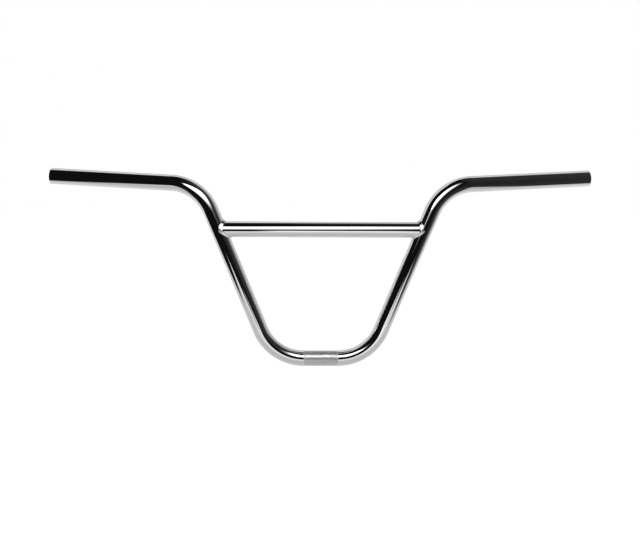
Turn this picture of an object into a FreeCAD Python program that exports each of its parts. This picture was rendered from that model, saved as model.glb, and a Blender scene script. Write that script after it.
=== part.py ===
import FreeCAD, Part
import math
import os
from FreeCAD import Placement, Rotation, Vector

# Frame: the origin is the middle of the stem clamp zone, on the tube's axis.
# +X runs along the clamp zone, +Y runs back towards the rider, +Z runs up.
# Lengths are in mm, angles in degrees.
sizes = {
    "tube_diameter": 22.2,
    "tube_wall": 1.2,
    "bar_width": 762,            # between the centres of the two open ends
    "bar_rise": 254,             # from the clamp axis up to the centres of the ends
    "backsweep": 11,
    "upsweep": 2,
    "leg_angle": 22.2,           # lean of each leg from upright
    "clamp_length": 48.5,        # straight stretch between the lower bends
    "lower_bend_radius": 66,
    "upper_bend_radius": 61,
    "end_chamfer": 0.4,
    "crossbar_diameter": 22.2,
    "crossbar_wall": 1.0,
    "crossbar_height": 184,      # above the clamp axis
    "mitre_land": 2.5,           # the mitre's thin tips are trimmed this far from the leg's axis
    "vent_diameter": 5,
    "bead_radius": 3.2,
    "bead_crown": 1.0,           # height of the bead on the tubes' sides, where they run flush
    "bead_sink": 0.95,           # how far the bead's centre lies inside the corners above and below
    "bead_turn": 4.0,            # how wide the bead turns at the front and back of the joint
}

doc = FreeCAD.newDocument("handlebar")
sheet = doc.addObject("Spreadsheet::Sheet", "sizes")
for row, (alias, value) in enumerate(sizes.items(), 1):
    sheet.set("A%d" % row, alias)
    sheet.set("B%d" % row, str(value))
    sheet.setAlias("B%d" % row, alias)
doc.recompute()


along = Vector(1, 0, 0)


def size(alias):
    return float(sheet.get(alias))


def angle(alias):
    return math.radians(size(alias))


def mirrored(point):
    return Vector(-point.x, point.y, point.z)


def bend(corner, before, after, radius):
    """Start, middle and end of the arc that rounds a corner of the route."""
    half_turn = before.getAngle(after) / 2
    reach = radius * math.tan(half_turn)
    inward = (after - before).normalize()
    middle = corner + inward * (radius / math.cos(half_turn) - radius)
    return corner - before * reach, middle, corner + after * reach


def feature(kind, name, **values):
    made = doc.addObject(kind, name)
    made.Label = name
    for key, value in values.items():
        setattr(made, key, value)
    return made


# How far from the middle each leg's axis is, at the crossbar's height.
leg_out = (
    "sizes.clamp_length / 2 + sizes.lower_bend_radius * tan(45 - sizes.leg_angle / 2)"
    " + sizes.crossbar_height * tan(sizes.leg_angle)"
)


def crosswise(name, radius, trim):
    """A round bar on the crossbar's axis, which ends short of both legs' axes by the trim."""
    lying = Placement(Vector(), Rotation(Vector(0, 0, 1), along))
    made = feature("Part::Cylinder", name, Placement=lying)
    made.setExpression("Radius", radius)
    made.setExpression("Height", "2 * (%s - %s)" % (leg_out, trim))
    made.setExpression("Placement.Base.x", "%s - (%s)" % (trim, leg_out))
    made.setExpression("Placement.Base.z", "sizes.crossbar_height")
    return made


# The tube's centre line: clamp zone, lower bend, leg, upper bend and grip on each side.
leg = Vector(math.sin(angle("leg_angle")), 0, math.cos(angle("leg_angle")))
grip = Vector(
    math.cos(angle("backsweep")) * math.cos(angle("upsweep")),
    math.sin(angle("backsweep")) * math.cos(angle("upsweep")),
    math.sin(angle("upsweep")),
)
lower_turn = along.getAngle(leg)
foot = along * (size("clamp_length") / 2 + size("lower_bend_radius") * math.tan(lower_turn / 2))
out = size("bar_width") / 2 - foot.x
leg_reach = (size("bar_rise") * grip.x - out * grip.z) / (leg.z * grip.x - leg.x * grip.z)
shoulder = foot + leg * leg_reach
tip = shoulder + grip * ((size("bar_width") / 2 - shoulder.x) / grip.x)

low = bend(foot, along, leg, size("lower_bend_radius"))
high = bend(shoulder, leg, grip, size("upper_bend_radius"))
stops = [*low, *high, tip]
left = [mirrored(stop) for stop in stops]
route_pieces = [
    Part.LineSegment(left[6], left[5]),
    Part.Arc(left[5], left[4], left[3]),
    Part.LineSegment(left[3], left[2]),
    Part.Arc(left[2], left[1], left[0]),
    Part.LineSegment(left[0], stops[0]),
    Part.Arc(stops[0], stops[1], stops[2]),
    Part.LineSegment(stops[2], stops[3]),
    Part.Arc(stops[3], stops[4], stops[5]),
    Part.LineSegment(stops[5], stops[6]),
]
route = feature("Part::Feature", "route")
route.Shape = Part.Wire([piece.toShape() for piece in route_pieces])
spine = (route, ["Edge%d" % (number + 1) for number in range(len(route_pieces))])

# The bent tube: an outer and an inner round section swept along the centre line.
start = Placement(left[6], Rotation(Vector(0, 0, 1), left[5] - left[6]))
outer_section = feature("Part::Circle", "outer_section", Placement=start)
outer_section.setExpression("Radius", "sizes.tube_diameter / 2")
bore_section = feature("Part::Circle", "bore_section", Placement=start)
bore_section.setExpression("Radius", "sizes.tube_diameter / 2 - sizes.tube_wall")
tube_outer = feature("Part::Sweep", "tube_outer", Sections=[outer_section], Spine=spine, Solid=True)
tube_bore = feature("Part::Sweep", "tube_bore", Sections=[bore_section], Spine=spine, Solid=True)
bent_tube = feature("Part::Cut", "bent_tube", Base=tube_outer, Tool=tube_bore)

# One drilling from leg to leg vents the closed crossbar into both legs.
vent_drilling = crosswise("vent_drilling", "sizes.vent_diameter / 2", "0")
vented_tube = feature("Part::Cut", "vented_tube", Base=bent_tube, Tool=vent_drilling)
doc.recompute()
joint = mirrored(vent_drilling.Placement.Base)

# Both rims of each open end are eased, and keep a flat between them.
easing = min(size("end_chamfer"), 0.45 * size("tube_wall"))
rims = [
    (number, easing, easing)
    for number, edge in enumerate(vented_tube.Shape.Edges, 1)
    if edge.Closed and min((edge.CenterOfMass - end).Length for end in (tip, left[6])) < easing
]
main_tube = feature("Part::Chamfer", "main_tube", Base=vented_tube, Edges=rims)

# The crossbar: a straight tube between the legs, mitred to their outside.
outside = "sizes.crossbar_diameter / 2"
crossbar_outer = crosswise("crossbar_outer", outside, "sizes.mitre_land")
crossbar_bore = crosswise("crossbar_bore", outside + " - sizes.crossbar_wall", "sizes.mitre_land")
crossbar_tube = feature("Part::Cut", "crossbar_tube", Base=crossbar_outer, Tool=crossbar_bore)
crossbar = feature("Part::Cut", "crossbar", Base=crossbar_tube, Tool=tube_outer)


def bead_point(turn):
    """A point of the weld's centre line, at an angle around the crossbar that starts at its front."""
    side, corner = math.cos(turn) ** 2, math.sin(turn) ** 2
    stand_off = -size("bead_sink") * corner - (size("bead_radius") - size("bead_crown")) * side
    around = size("crossbar_diameter") / 2 + stand_off
    depth = -around * math.cos(turn)
    height = around * math.sin(turn)
    square = (size("tube_diameter") / 2 + stand_off) ** 2 - depth ** 2
    clear = math.sqrt((square + math.hypot(square, size("bead_turn") ** 2)) / 2)
    return Vector(joint.x + height * leg.x / leg.z - clear / leg.z, depth, joint.z + height)


def bead_place(turn):
    """Square to the weld's centre line, with a corner of the section away from the crossbar."""
    point = bead_point(turn)
    ahead = (bead_point(turn + 0.0001) - bead_point(turn - 0.0001)).normalize()
    away = Vector(0, point.y, point.z - joint.z)
    away = (away - ahead * away.dot(ahead)).normalize()
    return Placement(point, Rotation(away, ahead.cross(away), ahead, "ZXY"))


# Each weld: a six-sided bead along the front half of the mitre, less both tubes, and its mirror
# image behind.
bead_steps = 8
bead_sections = []
for step in range(bead_steps + 1):
    place = bead_place(math.pi * (step / bead_steps - 0.5))
    bead_section = feature("Part::RegularPolygon", "bead_section_%d" % step, Polygon=6, Placement=place)
    bead_section.setExpression("Circumradius", "sizes.bead_radius")
    bead_sections.append(bead_section)
bead = feature("Part::Loft", "bead", Sections=bead_sections, Solid=True)
bead_off_crossbar = feature("Part::Cut", "bead_off_crossbar", Base=bead, Tool=crossbar_outer)
weld_front = feature("Part::Cut", "weld_front", Base=bead_off_crossbar, Tool=tube_outer)
weld_back = feature("Part::Mirroring", "weld_back", Source=weld_front, Normal=Vector(0, 1, 0))
weld_right = feature("Part::Fuse", "weld_right", Base=weld_front, Tool=weld_back)
weld_left = feature("Part::Mirroring", "weld_left", Source=weld_right, Normal=along)
weld_beads = feature("Part::Compound", "weld_beads", Links=[weld_left, weld_right])

doc.recompute()

for made in doc.Objects:
    if "Invalid" in made.State or "Error" in made.State:
        raise RuntimeError("%s did not build: %s" % (made.Label, made.State))

os.makedirs("parts", exist_ok=True)
for node, solids in ((main_tube, 1), (crossbar, 1), (weld_beads, 2)):
    shape = node.Shape
    if shape.isNull() or not shape.isValid() or len(shape.Solids) != solids:
        raise RuntimeError("%s is not sound" % node.Label)
    shape.exportStep("parts/%s.step" % node.Label)
    print(node.Label, "volume %.0f mm3" % shape.Volume)
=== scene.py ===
import math

import bmesh
import bpy
from mathutils import Matrix, Vector


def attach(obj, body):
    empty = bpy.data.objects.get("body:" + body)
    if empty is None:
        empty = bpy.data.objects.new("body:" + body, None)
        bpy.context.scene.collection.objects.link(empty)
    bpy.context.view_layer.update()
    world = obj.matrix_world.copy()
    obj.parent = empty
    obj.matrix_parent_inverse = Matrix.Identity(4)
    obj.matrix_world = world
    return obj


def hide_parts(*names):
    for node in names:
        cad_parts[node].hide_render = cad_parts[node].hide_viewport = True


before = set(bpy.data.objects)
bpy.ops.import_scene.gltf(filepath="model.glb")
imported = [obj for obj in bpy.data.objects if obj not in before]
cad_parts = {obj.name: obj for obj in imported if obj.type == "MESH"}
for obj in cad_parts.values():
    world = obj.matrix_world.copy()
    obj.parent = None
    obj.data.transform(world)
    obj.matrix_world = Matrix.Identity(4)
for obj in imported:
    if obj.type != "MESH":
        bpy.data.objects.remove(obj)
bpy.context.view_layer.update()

scene = bpy.context.scene
mm = 0.001


class Signal:
    # wraps one socket, so that shader maths reads as plain expressions
    def __init__(self, tree, socket=None):
        self.tree = tree
        self.socket = socket

    def node(self, kind, settings=None, sockets=None, out=0):
        made = self.tree.nodes.new(kind)
        for key, value in (settings or {}).items():
            if key == "stops":
                ramp = made.color_ramp.elements
                while len(ramp) < len(value):
                    ramp.new(1)
                for stop, (place, colour) in zip(ramp, value):
                    stop.position = place
                    stop.color = (*colour, 1)
            else:
                setattr(made, key, value)
        for key, value in (sockets or {}).items():
            if isinstance(value, Signal):
                self.tree.links.new(value.socket, made.inputs[key])
            else:
                made.inputs[key].default_value = value
        return Signal(self.tree, made.outputs[out]) if made.outputs else made

    def sibling(self, name):
        return Signal(self.tree, self.socket.node.outputs[name])

    def maths(self, operation, first, second=0.0):
        return self.node("ShaderNodeMath", {"operation": operation}, {0: first, 1: second})

    def smooth(self, low, high):
        ends = {"Value": self, "From Min": low, "From Max": high}
        return self.node("ShaderNodeMapRange", {"interpolation_type": "SMOOTHSTEP"}, ends)

    def over(self, other):
        return self.maths("MAXIMUM", self, other)

    def __add__(self, other):
        return self.maths("ADD", self, other)

    def __radd__(self, other):
        return self.maths("ADD", other, self)

    def __sub__(self, other):
        return self.maths("SUBTRACT", self, other)

    def __rsub__(self, other):
        return self.maths("SUBTRACT", other, self)

    def __mul__(self, other):
        return self.maths("MULTIPLY", self, other)

    def __rmul__(self, other):
        return self.maths("MULTIPLY", other, self)


def newMaterial(name):
    made = bpy.data.materials.new(name)
    made.use_nodes = True
    made.node_tree.nodes.clear()
    return made, Signal(made.node_tree)


def endMaterial(start, sockets):
    shader = start.node("ShaderNodeBsdfPrincipled", None, sockets)
    start.node("ShaderNodeOutputMaterial", None, {"Surface": shader})


def objectPlace(start):
    return start.node("ShaderNodeTexCoord", None, None, "Object")


def stretched(start, place, scale):
    return start.node("ShaderNodeMapping", None, {"Vector": place, "Scale": scale})


def noise(start, place, scale, detail=2.0, rough=0.5):
    return start.node("ShaderNodeTexNoise", None, {
        "Vector": place, "Scale": scale, "Detail": detail, "Roughness": rough}, "Fac")


def bumped(start, height, distance, strength=1.0):
    return start.node("ShaderNodeBump", None, {
        "Strength": strength, "Distance": distance, "Height": height}, "Normal")


def twoTone(start, mask, low, high):
    return start.node("ShaderNodeValToRGB", {"stops": [(0, low), (1, high)]}, {"Fac": mask}, "Color")


plating = {
    "bright": (0.86, 0.865, 0.87),
    "cool": (0.81, 0.82, 0.835),
    "polish": 0.03,          # roughness of the cleanest plate
    "haze": 0.05,            # added by wiping marks
    "hairline": 0.02,        # added by polishing scratches
    "waver": 0.006 * mm,     # unevenness left by bending and polishing
    "cloudScale": 22,
    "wipeScale": 310,
    "wipeRange": (0.52, 0.8),
    "hairStretch": (60, 900, 900),
    "hairRange": (0.6, 0.75),
    "waveScale": 70,
}


def chromePlate():
    made, start = newMaterial("chromePlate")
    place = objectPlace(start)
    cloud = noise(start, place, plating["cloudScale"], detail=3)
    wipe = noise(start, place, plating["wipeScale"], detail=4, rough=0.65).smooth(*plating["wipeRange"])
    combed = stretched(start, place, plating["hairStretch"])
    hair = noise(start, combed, 1.0).smooth(*plating["hairRange"])
    wave = noise(start, place, plating["waveScale"], detail=1)
    endMaterial(start, {
        "Base Color": twoTone(start, cloud, plating["cool"], plating["bright"]),
        "Metallic": 1.0,
        "Roughness": plating["polish"] + wipe * cloud * plating["haze"] + hair * plating["hairline"],
        "Normal": bumped(start, wave, plating["waver"]),
    })
    return made


knurlFinish = {
    # crest and valley: the knurl's flats are painted lighter than the plain plate (painted highlight),
    # and its grooves darker (painted shade in the grooves)
    "crest": (0.97, 0.972, 0.975),
    "valley": (0.72, 0.725, 0.73),
    "crestRough": 0.36,
    "valleyRough": 0.45,
    "grainScale": 2400,
    "grainShare": 0.2,       # of the step between valley and crest
    "grainHeight": 0.03 * mm,
    "grainBump": 0.6,
}


def knurlChrome(radius, depth):
    made, start = newMaterial("knurlChrome")
    place = objectPlace(start)
    across = start.node("ShaderNodeVectorMath", {"operation": "MULTIPLY"}, {0: place, 1: (0, 1, 1)})
    out = start.node("ShaderNodeVectorMath", {"operation": "LENGTH"}, {0: across}, "Value")
    # height runs from 0 in the grooves to 1 on the crests; through the two tones it paints shade into
    # the grooves and a highlight onto the crests, with random grain mixed in, and the same mask also
    # sets the roughness
    height = out.smooth(radius - depth, radius)
    grain = noise(start, place, knurlFinish["grainScale"], detail=3, rough=0.6)
    mask = height * (1 - knurlFinish["grainShare"]) + grain * knurlFinish["grainShare"]
    polish = knurlFinish["crestRough"] - knurlFinish["valleyRough"]
    endMaterial(start, {
        "Base Color": twoTone(start, mask, knurlFinish["valley"], knurlFinish["crest"]),
        "Metallic": 1.0,
        "Roughness": knurlFinish["valleyRough"] + mask * polish,
        "Normal": bumped(start, grain, knurlFinish["grainHeight"], knurlFinish["grainBump"]),
    })
    return made


boreFinish = {
    "dull": (0.2, 0.2, 0.205),
    "bare": (0.36, 0.36, 0.365),
    "polish": 0.45,
    "roughening": 0.25,
    "scaleSize": 140,        # patches of mill scale
    "drawnStretch": (40, 900, 900),
    "drawnHeight": 0.05 * mm,
    "drawnBump": 0.5,
}


def boreSteel():
    made, start = newMaterial("boreSteel")
    place = objectPlace(start)
    scale = noise(start, place, boreFinish["scaleSize"], detail=4, rough=0.6)
    drawn = noise(start, stretched(start, place, boreFinish["drawnStretch"]), 1.0, detail=3)
    mask = scale * 0.5 + drawn * 0.5
    endMaterial(start, {
        "Base Color": twoTone(start, mask, boreFinish["dull"], boreFinish["bare"]),
        "Metallic": 1.0,
        "Roughness": boreFinish["polish"] + mask * boreFinish["roughening"],
        "Normal": bumped(start, drawn, boreFinish["drawnHeight"], boreFinish["drawnBump"]),
    })
    return made


weldFinish = {
    "bright": (0.84, 0.845, 0.85),
    "smoked": (0.7, 0.7, 0.705),
    "polish": 0.1,
    "frost": 0.2,            # roughness added where the bead is frosted
    "patchScale": 420,
    "frostScale": 2600,
    "frostHeight": 0.02 * mm,
    "frostBump": 0.5,
}


def weldChrome():
    made, start = newMaterial("weldChrome")
    place = objectPlace(start)
    patch = noise(start, place, weldFinish["patchScale"], detail=3)
    frost = noise(start, place, weldFinish["frostScale"], detail=3, rough=0.6)
    endMaterial(start, {
        "Base Color": twoTone(start, patch, weldFinish["smoked"], weldFinish["bright"]),
        "Metallic": 1.0,
        "Roughness": weldFinish["polish"] + patch * frost * weldFinish["frost"],
        "Normal": bumped(start, frost, weldFinish["frostHeight"], weldFinish["frostBump"]),
    })
    return made


def edgesOf(parts):
    return [part for part in parts if isinstance(part, bmesh.types.BMEdge)]


def vertsOf(parts):
    return [part for part in parts if isinstance(part, bmesh.types.BMVert)]


def edgesAround(verts):
    return list(dict.fromkeys(edge for vert in verts for edge in vert.link_edges))


def growRing(bm, loop):
    # one more ring on the end of a tube, not moved yet, and its edges
    grown = bmesh.ops.extrude_edge_only(bm, edges=loop)["geom"]
    ring = vertsOf(grown)
    fresh = set(ring)
    return ring, [edge for edge in edgesOf(grown) if fresh.issuperset(edge.verts)]


def runStraight(bm, loop, move, steps=1):
    for step in range(steps):
        ring, loop = growRing(bm, loop)
        bmesh.ops.translate(bm, verts=ring, vec=move / steps)
    return loop


def runBend(bm, loop, corner, before, after, radius, steps):
    half = before.angle(after) / 2
    centre = corner + (after - before).normalized() * (radius / math.cos(half))
    swept = bmesh.ops.spin(
        bm, geom=loop, cent=centre, axis=before.cross(after).normalized(),
        angle=half * 2, steps=steps, use_duplicate=False)
    return edgesOf(swept["geom_last"])


def bendReach(before, after, radius):
    return radius * math.tan(before.angle(after) / 2)


def startRing(bm, radius, sides, place):
    facing = place @ Matrix.Rotation(math.radians(90), 4, "Y")
    made = bmesh.ops.create_circle(bm, segments=sides, radius=radius, matrix=facing)
    return edgesAround(made["verts"])


def finishPiece(name, bm, materials):
    bmesh.ops.recalc_face_normals(bm, faces=bm.faces)
    mesh = bpy.data.meshes.new(name)
    bm.to_mesh(mesh)
    bm.free()
    for material in materials:
        mesh.materials.append(material)
    made = bpy.data.objects.new(name, mesh)
    scene.collection.objects.link(made)
    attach(made, "root")
    print(name, len(mesh.polygons), "faces")
    return made


def bothSides(bm, seam=0.002 * mm):
    # mirrors the right half, and joins the halves where they meet
    everything = bm.verts[:] + bm.edges[:] + bm.faces[:]
    bmesh.ops.mirror(bm, geom=everything, axis="X", merge_dist=seam)


tube = {
    "radius": 11.1 * mm,
    "wall": 1.2 * mm,
    "easing": 0.4 * mm,          # on both rims of the open ends
    "easingSteps": 4,
    "collar": 1.0 * mm,          # last short run, which keeps the rim's rounding off the grip
    "halfWidth": 381 * mm,
    "rise": 254 * mm,
    "backsweep": math.radians(11),
    "upsweep": math.radians(2),
    "legLean": math.radians(22.2),
    "clampHalf": 24.25 * mm,
    "lowerBend": 66 * mm,
    "upperBend": 61 * mm,
    "sides": 96,
    "bendSteps": 44,
    "knurlRows": 34,             # half diamonds from the middle to the end of the clamp band
    "knurlDepth": 0.15 * mm,
    "knurlFlat": 0.72,           # share of each diamond's half width that stays flat
}
across = Vector((1, 0, 0))
legWay = Vector((math.sin(tube["legLean"]), 0, math.cos(tube["legLean"])))
gripWay = Vector((
    math.cos(tube["backsweep"]) * math.cos(tube["upsweep"]),
    math.sin(tube["backsweep"]) * math.cos(tube["upsweep"]),
    math.sin(tube["upsweep"])))
foot = across * (tube["clampHalf"] + bendReach(across, legWay, tube["lowerBend"]))
spare = tube["halfWidth"] - foot.x
legLength = (
    (tube["rise"] * gripWay.x - spare * gripWay.z)
    / (legWay.z * gripWay.x - legWay.x * gripWay.z))
shoulder = foot + legWay * legLength
gripLength = (tube["halfWidth"] - shoulder.x) / gripWay.x


def halfTube(bm, radius, clampSteps):
    lowerReach = bendReach(across, legWay, tube["lowerBend"])
    upperReach = bendReach(legWay, gripWay, tube["upperBend"])
    loop = startRing(bm, radius, tube["sides"], Matrix())
    loop = runStraight(bm, loop, across * tube["clampHalf"], clampSteps)
    loop = runBend(bm, loop, foot, across, legWay, tube["lowerBend"], tube["bendSteps"])
    loop = runStraight(bm, loop, legWay * (legLength - lowerReach - upperReach))
    loop = runBend(bm, loop, shoulder, legWay, gripWay, tube["upperBend"], tube["bendSteps"])
    loop = runStraight(bm, loop, gripWay * (gripLength - upperReach - tube["collar"]))
    return runStraight(bm, loop, gripWay * tube["collar"])


def cutKnurl(bm):
    row = tube["clampHalf"] / tube["knurlRows"]
    turn = math.tau / tube["sides"]
    # how far the crests are raised first, all of which the bevel takes off
    peak = tube["knurlDepth"] * tube["knurlFlat"] / (1 - tube["knurlFlat"])
    crests, valleys = [], []
    for vert in bm.verts:
        fromEnd = tube["clampHalf"] - abs(vert.co.x)
        inBore = vert.co.yz.length < tube["radius"] - tube["wall"] / 2
        if inBore or fromEnd < row / 2:
            continue
        along = round(vert.co.x / row)
        around = round(math.atan2(vert.co.z, vert.co.y) / turn)
        if (along + around) % 2 == 0:
            valleys.append(vert)
        elif fromEnd > row * 1.5:            # the last row's crests stay as low as the plain tube
            crests.append(vert)
    for group, lift in ((crests, peak), (valleys, -tube["knurlDepth"])):
        for vert in group:
            vert.co.yz *= 1 + lift / tube["radius"]
    bmesh.ops.connect_verts(bm, verts=valleys)
    bmesh.ops.bevel(
        bm, geom=crests, offset=tube["knurlFlat"] * 100, offset_type="PERCENT", affect="VERTICES",
        segments=1, profile=0.5, material=-1)


def mainTube():
    bm = bmesh.new()
    outerRim = halfTube(bm, tube["radius"], tube["knurlRows"])
    outside = set(bm.faces)
    innerRim = halfTube(bm, tube["radius"] - tube["wall"], 1)
    for face in bm.faces:
        face.smooth = True
        face.material_index = 0 if face in outside else 2
    innerVerts = list(dict.fromkeys(vert for edge in innerRim for vert in edge.verts))
    # the inner rim is drawn back while it is bridged, so that the bridge can't turn over
    drawnBack = gripWay * tube["wall"]
    bmesh.ops.translate(bm, verts=innerVerts, vec=-drawnBack)
    lip = bmesh.ops.bridge_loops(bm, edges=outerRim + innerRim)["faces"]
    bmesh.ops.translate(bm, verts=innerVerts, vec=drawnBack)
    for face in lip:
        face.smooth = True
    bmesh.ops.recalc_face_normals(bm, faces=bm.faces)
    bmesh.ops.bevel(
        bm, geom=outerRim + innerRim, offset=tube["easing"], offset_type="OFFSET", affect="EDGES",
        segments=tube["easingSteps"], profile=0.5, material=-1)
    bothSides(bm)
    cutKnurl(bm)
    for face in bm.faces:
        if face.material_index == 0 and abs(face.calc_center_median().x) < tube["clampHalf"]:
            face.material_index = 1
            face.smooth = False
    made = finishPiece("mainTubePlated", bm, [
        chrome, knurlChrome(tube["radius"], tube["knurlDepth"]), boreSteel()])
    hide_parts("main_tube")


bar = {
    "radius": 11.1 * mm,
    "wall": 1.0 * mm,
    "height": 184 * mm,
    "land": 2.5 * mm,            # the thin tips of the mitre stop this far from the leg's axis
    "endRun": 30 * mm,           # last run, whose end takes the mitre
    "sides": 96,
}
jointX = foot.x + bar["height"] * math.tan(tube["legLean"])


def legSide(depth, height, radius):
    # x of the leg's inner side, at a depth and a height above the crossbar's axis
    clear = math.sqrt(max(radius ** 2 - depth ** 2, 0))
    return jointX + height * math.tan(tube["legLean"]) - clear / math.cos(tube["legLean"])


def halfBar(bm, radius):
    loop = startRing(bm, radius, bar["sides"], Matrix.Translation((0, 0, bar["height"])))
    loop = runStraight(bm, loop, across * (jointX - bar["endRun"]))
    loop = runStraight(bm, loop, across * bar["endRun"])
    for vert in {vert for edge in loop for vert in edge.verts}:
        mitre = legSide(vert.co.y, vert.co.z - bar["height"], tube["radius"])
        vert.co.x = min(mitre, jointX - bar["land"])
    return loop


def crossbar():
    bm = bmesh.new()
    outerRim = halfBar(bm, bar["radius"])
    innerRim = halfBar(bm, bar["radius"] - bar["wall"])
    for face in bm.faces:
        face.smooth = True
    for edge in outerRim + innerRim:
        edge.smooth = False
    bmesh.ops.bridge_loops(bm, edges=outerRim + innerRim)
    bothSides(bm)
    made = finishPiece("crossbarPlated", bm, [chrome])
    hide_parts("crossbar")


bead = {
    "halfTall": 2.8 * mm,
    "halfWide": 6.4 * mm,
    "sunk": 2.45 * mm,           # how far its centre lies inside the tubes' sides
    "sinkAbove": 0.5 * mm,       # how far it lies inside the corner above the joint
    "sinkBelow": 0.55 * mm,
    "turn": 4.6 * mm,            # how wide it turns at the front and the back
    "lean": 0.35,                # how far it leans off the crossbar there
    "ripples": 44,
    "rippleSteps": 8,
    "rippleHeight": 0.1 * mm,
    "rippleBow": 1.1,            # how far the middle of each ripple runs ahead, in ripples
    "rippleEven": 0.6,           # share of a ripple's height that lies inside the bead's own size
    "sides": 28,
}


def beadPoint(turn):
    side, corner = math.cos(turn) ** 2, math.sin(turn) ** 2
    sink = bead["sinkAbove"] if turn % math.tau < math.pi else bead["sinkBelow"]
    standOff = -sink * corner - bead["sunk"] * side
    around = bar["radius"] + standOff
    depth, height = -around * math.cos(turn), around * math.sin(turn)
    square = (tube["radius"] + standOff) ** 2 - depth ** 2
    clear = math.sqrt((square + math.hypot(square, bead["turn"] ** 2)) / 2)
    return Vector((
        jointX + height * math.tan(tube["legLean"]) - clear / math.cos(tube["legLean"]),
        depth, bar["height"] + height))


def beadPlace(turn):
    # square to the bead's run, with its first axis away from both tubes
    point = beadPoint(turn)
    nudge = 0.0001
    ahead = (beadPoint(turn + nudge) - beadPoint(turn - nudge)).normalized()
    offBar = Vector((0, point.y, point.z - bar["height"])).normalized()
    offLeg = point - foot
    offLeg = (offLeg - legWay * offLeg.dot(legWay)).normalized()
    away = offBar + offLeg + across * bead["lean"] * math.cos(turn) ** 2
    away = (away - ahead * away.dot(ahead)).normalized()
    turned = Matrix((away, ahead.cross(away), ahead)).transposed().to_4x4()
    section = Matrix.Diagonal((bead["halfTall"], bead["halfWide"], 1, 1))
    return Matrix.Translation(point) @ turned @ section


def rippleRing(ring, place, share):
    # rounded scales that overlap along the bead, each one bowed forward in the middle
    for vert in ring:
        flat = place.inverted() @ vert.co
        phase = share * bead["ripples"] + bead["rippleBow"] * flat.x
        crown = 1 - (2 * (phase % 1) - 1) ** 2
        flat *= 1 + bead["rippleHeight"] * (crown - bead["rippleEven"]) / bead["halfTall"]
        vert.co = place @ flat


def weldBeads():
    bm = bmesh.new()
    steps = bead["ripples"] * bead["rippleSteps"]
    places = [beadPlace(math.tau * step / steps) for step in range(steps)]
    made = bmesh.ops.create_circle(bm, segments=bead["sides"], radius=1, matrix=places[0])
    rings = [made["verts"]]
    firstLoop = loop = edgesAround(made["verts"])
    for before, place in zip(places, places[1:]):
        ring, loop = growRing(bm, loop)
        bmesh.ops.transform(bm, matrix=place @ before.inverted(), verts=ring)
        rings.append(ring)
    bmesh.ops.bridge_loops(bm, edges=loop + firstLoop)
    for step, (ring, place) in enumerate(zip(rings, places)):
        rippleRing(ring, place, step / steps)
    bothSides(bm, 0)
    for face in bm.faces:
        face.smooth = True
    made = finishPiece("weldBeadsPlated", bm, [weldChrome()])
    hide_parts("weld_beads")


chrome = chromePlate()
mainTube()
crossbar()
weldBeads()
print("bar made")

studio = {
    "gloom": 0.0055,             # the unlit room in front
    "rightGloom": 0.0247,        # added on the camera's right
    "rightGloomFrom": (15, 45),  # headings in degrees between which it comes in
    "sweep": 0.737,              # the pale sweep behind
    "sweepTop": 63.6,            # degrees, as seen from the bar
    "sweepTopFringe": 1,
    "sweepLeft": (93.6, 108.9),  # headings between which it fades in
    "sweepRight": (44.4, 136.0),
    "leftLean": 0.19,
    "rightLean": 0.654,
    "doorway": (0.84, 0.95),     # the dark way out, straight behind the bar
    "doorwayDark": 0.8,
}
floor = {
    "height": -250 * mm,
    "reach": 4.0,
    "pale": (0.9, 0.9, 0.9),
    "paler": (0.93, 0.93, 0.93),
    "mottle": 3,
    "rough": 0.8,
    "glow": 0.9,
}
paper = {                        # the lit sheet under the bar, as the plating sees it
    "height": -216 * mm,
    "reach": 2.3,
    "front": 1.06,
    "tongue": (-0.107, 0.297, 2.049),    # left edge, right edge and front of its longer middle
    "left": 0.584,
    "leftTaper": -0.0515,
    "right": 0.49,
    "rightTaper": 0.17,
    "backSpread": 0.5,
    "backSpreadRamp": (-0.2, 0.2),
    "back": (1.9, 1.5),
    "fringe": 0.047,
    "frontFringe": 0.1,
    "tongueFringe": 0.05,
    "dim": 0.547,
    "frontGain": 0.506,
    "frontRamp": (-0.15, -1.26),
    "backGain": 0.196,
    "backRamp": (-0.12, 0.2),
}
softbox = {                      # its edges are measured from the centre of its plane
    "centre": (0, -0.533, 0.8),
    "reach": 0.9,
    "left": -0.37,
    "leftSlant": -0.016,
    "leftFringe": 0.051,
    "right": 0.172,
    "rightSlant": 0.15,
    "rightFringe": 0.2,
    "low": -0.33,
    "lowFringe": 0.25,
    "high": -0.1,
    "highLean": 0.22,
    "highFringe": 0.137,
    "power": 8.0,
    "tilt": 0.114,
    "turn": 0.334,
}


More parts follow.
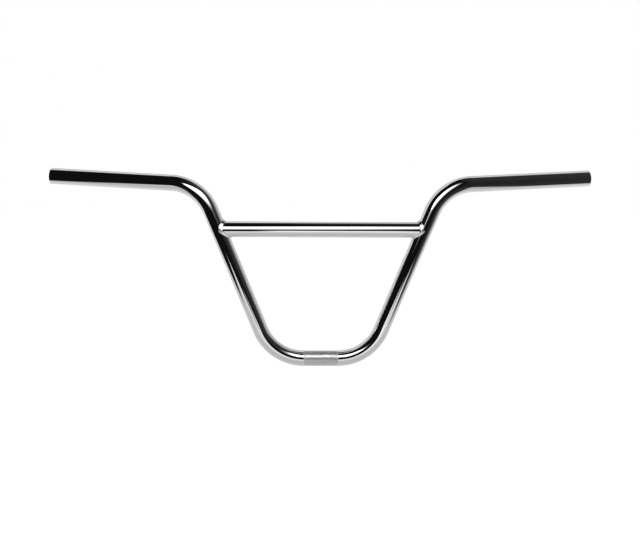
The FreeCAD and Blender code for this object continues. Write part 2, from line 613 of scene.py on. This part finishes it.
def lightRoom():
    world = bpy.data.worlds.new("studio")
    scene.world = world
    world.use_nodes = True
    world.node_tree.nodes.clear()
    start = Signal(world.node_tree)
    way = start.node("ShaderNodeTexCoord", None, None, "Generated")
    x = start.node("ShaderNodeSeparateXYZ", None, {"Vector": way}, "X")
    y, z = x.sibling("Y"), x.sibling("Z")
    degree = 180 / math.pi
    heading = start.maths("ARCTAN2", x, y * -1.0) * degree      # 0 is the camera's side
    climb = start.maths("ARCSINE", z) * degree
    rise = climb.over(0.0)

    gloom = studio["gloom"] + heading.smooth(*studio["rightGloomFrom"]) * studio["rightGloom"]
    left = (heading * -1.0 - rise * studio["leftLean"]).smooth(*studio["sweepLeft"])
    right = (heading - rise * studio["rightLean"]).smooth(*studio["sweepRight"])
    top = climb.smooth(
        studio["sweepTop"] + studio["sweepTopFringe"], studio["sweepTop"] - studio["sweepTopFringe"])
    doorway = 1.0 - y.smooth(*studio["doorway"]) * studio["doorwayDark"]
    seen = gloom.over(left.over(right) * top * doorway * studio["sweep"])

    room = start.node("ShaderNodeBackground", None, {"Color": seen, "Strength": 1.0})
    white = start.node("ShaderNodeBackground", None, {"Color": (1, 1, 1, 1), "Strength": 1.0})
    ray = start.node("ShaderNodeLightPath", None, None, "Is Camera Ray")
    both = start.node("ShaderNodeMixShader", None, {0: ray, 1: room, 2: white})
    start.node("ShaderNodeOutputWorld", None, {"Surface": both})


def stageSheet(name, size, place, material):
    bm = bmesh.new()
    bmesh.ops.create_grid(bm, x_segments=1, y_segments=1, size=size)
    mesh = bpy.data.meshes.new(name)
    bm.to_mesh(mesh)
    bm.free()
    mesh.materials.append(material)
    made = bpy.data.objects.new(name, mesh)
    made.matrix_world = place
    scene.collection.objects.link(made)
    return made


def lit(name, pattern):
    # a sheet that shines where its pattern covers it, and is clear elsewhere
    made, start = newMaterial(name)
    x = start.node("ShaderNodeSeparateXYZ", None, {"Vector": objectPlace(start)}, "X")
    cover, strength = pattern(x, x.sibling("Y"))
    shine = start.node("ShaderNodeEmission", None, {"Strength": strength})
    clear = start.node("ShaderNodeBsdfTransparent")
    both = start.node("ShaderNodeMixShader", None, {0: cover, 1: clear, 2: shine})
    start.node("ShaderNodeOutputMaterial", None, {"Surface": both})
    return made


def faded(inside, fringe):
    return inside.smooth(-fringe, fringe)


def paperPattern(x, y):
    fringe = paper["fringe"]
    spread = y.smooth(*paper["backSpreadRamp"]) * paper["backSpread"]
    left = faded(x + spread + paper["left"] + y * paper["leftTaper"], fringe)
    right = faded(paper["right"] + spread - y * paper["rightTaper"] - x, fringe)
    front = faded(y + paper["front"], paper["frontFringe"])
    tongueLeft, tongueRight, tongueFront = paper["tongue"]
    tongue = faded(x - tongueLeft, fringe) * faded(tongueRight - x, fringe)
    front = front.over(tongue * faded(y + tongueFront, paper["tongueFringe"]))
    frontGain = y.smooth(*paper["frontRamp"]) * paper["frontGain"]
    backGain = y.smooth(*paper["backRamp"]) * paper["backGain"]
    cover = left * right * front * y.smooth(*paper["back"])
    return cover, paper["dim"] + frontGain.over(backGain)


def softboxPattern(x, y):
    cover = 1.0
    for edge, inside in (
        ("left", x - y * softbox["leftSlant"] - softbox["left"]),
        ("right", softbox["right"] + y * softbox["rightSlant"] - x),
        ("low", y - softbox["low"]),
        ("high", softbox["high"] + x * softbox["highLean"] - y),
    ):
        cover = cover * faded(inside, softbox[edge + "Fringe"])
    return cover, softbox["power"]


def layStage():
    turned = Matrix.Rotation(softbox["turn"], 4, "Z") @ Matrix.Rotation(
        math.radians(90) - softbox["tilt"], 4, "X")
    sheets = [
        stageSheet("paper", paper["reach"], Matrix.Translation((0, 0, paper["height"])),
                   lit("litPaper", paperPattern)),
        stageSheet("softbox", softbox["reach"], Matrix.Translation(softbox["centre"]) @ turned,
                   lit("litSoftbox", softboxPattern)),
    ]
    for sheet in sheets:
        sheet.visible_camera = False
        sheet.visible_diffuse = False
        sheet.visible_shadow = False
    made, start = newMaterial("paleFloor")
    mottle = noise(start, objectPlace(start), floor["mottle"])
    endMaterial(start, {
        "Base Color": twoTone(start, mottle, floor["pale"], floor["paler"]),
        "Roughness": floor["rough"],
        "Emission Color": (1, 1, 1, 1),
        "Emission Strength": floor["glow"],
    })
    laid = stageSheet("floor", floor["reach"], Matrix.Translation((0, 0, floor["height"])), made)
    laid.visible_glossy = False             # the plating sees the lit paper in its place


lens = {
    "aim": Vector((-1.83, 0, 119.21)) * mm,
    "distance": 1700 * mm,
    "pitch": math.radians(9.33),
    "yaw": math.radians(1.33),
    "roll": math.radians(0.38),
    "focal": 68.085,
    "sensor": 36,
    "nearest": 10 * mm,
}


def setCamera():
    data = bpy.data.cameras.new("camera")
    data.sensor_fit = "HORIZONTAL"
    data.sensor_width = lens["sensor"]
    data.lens = lens["focal"]
    data.clip_start = lens["nearest"]
    camera = bpy.data.objects.new("camera", data)
    scene.collection.objects.link(camera)
    pitch, yaw = lens["pitch"], lens["yaw"]
    ahead = Vector((
        math.sin(yaw) * math.cos(pitch), math.cos(yaw) * math.cos(pitch), -math.sin(pitch)))
    level = Vector((math.cos(yaw), -math.sin(yaw), 0))
    upward = level.cross(ahead)
    right = level * math.cos(lens["roll"]) + upward * math.sin(lens["roll"])
    upward = upward * math.cos(lens["roll"]) - level * math.sin(lens["roll"])
    turned = Matrix((right, upward, -ahead)).transposed().to_4x4()
    camera.matrix_world = Matrix.Translation(lens["aim"] - ahead * lens["distance"]) @ turned
    scene.camera = camera


lightRoom()
layStage()
setCamera()
scene.view_settings.view_transform = "Standard"
print("studio lit, camera set")
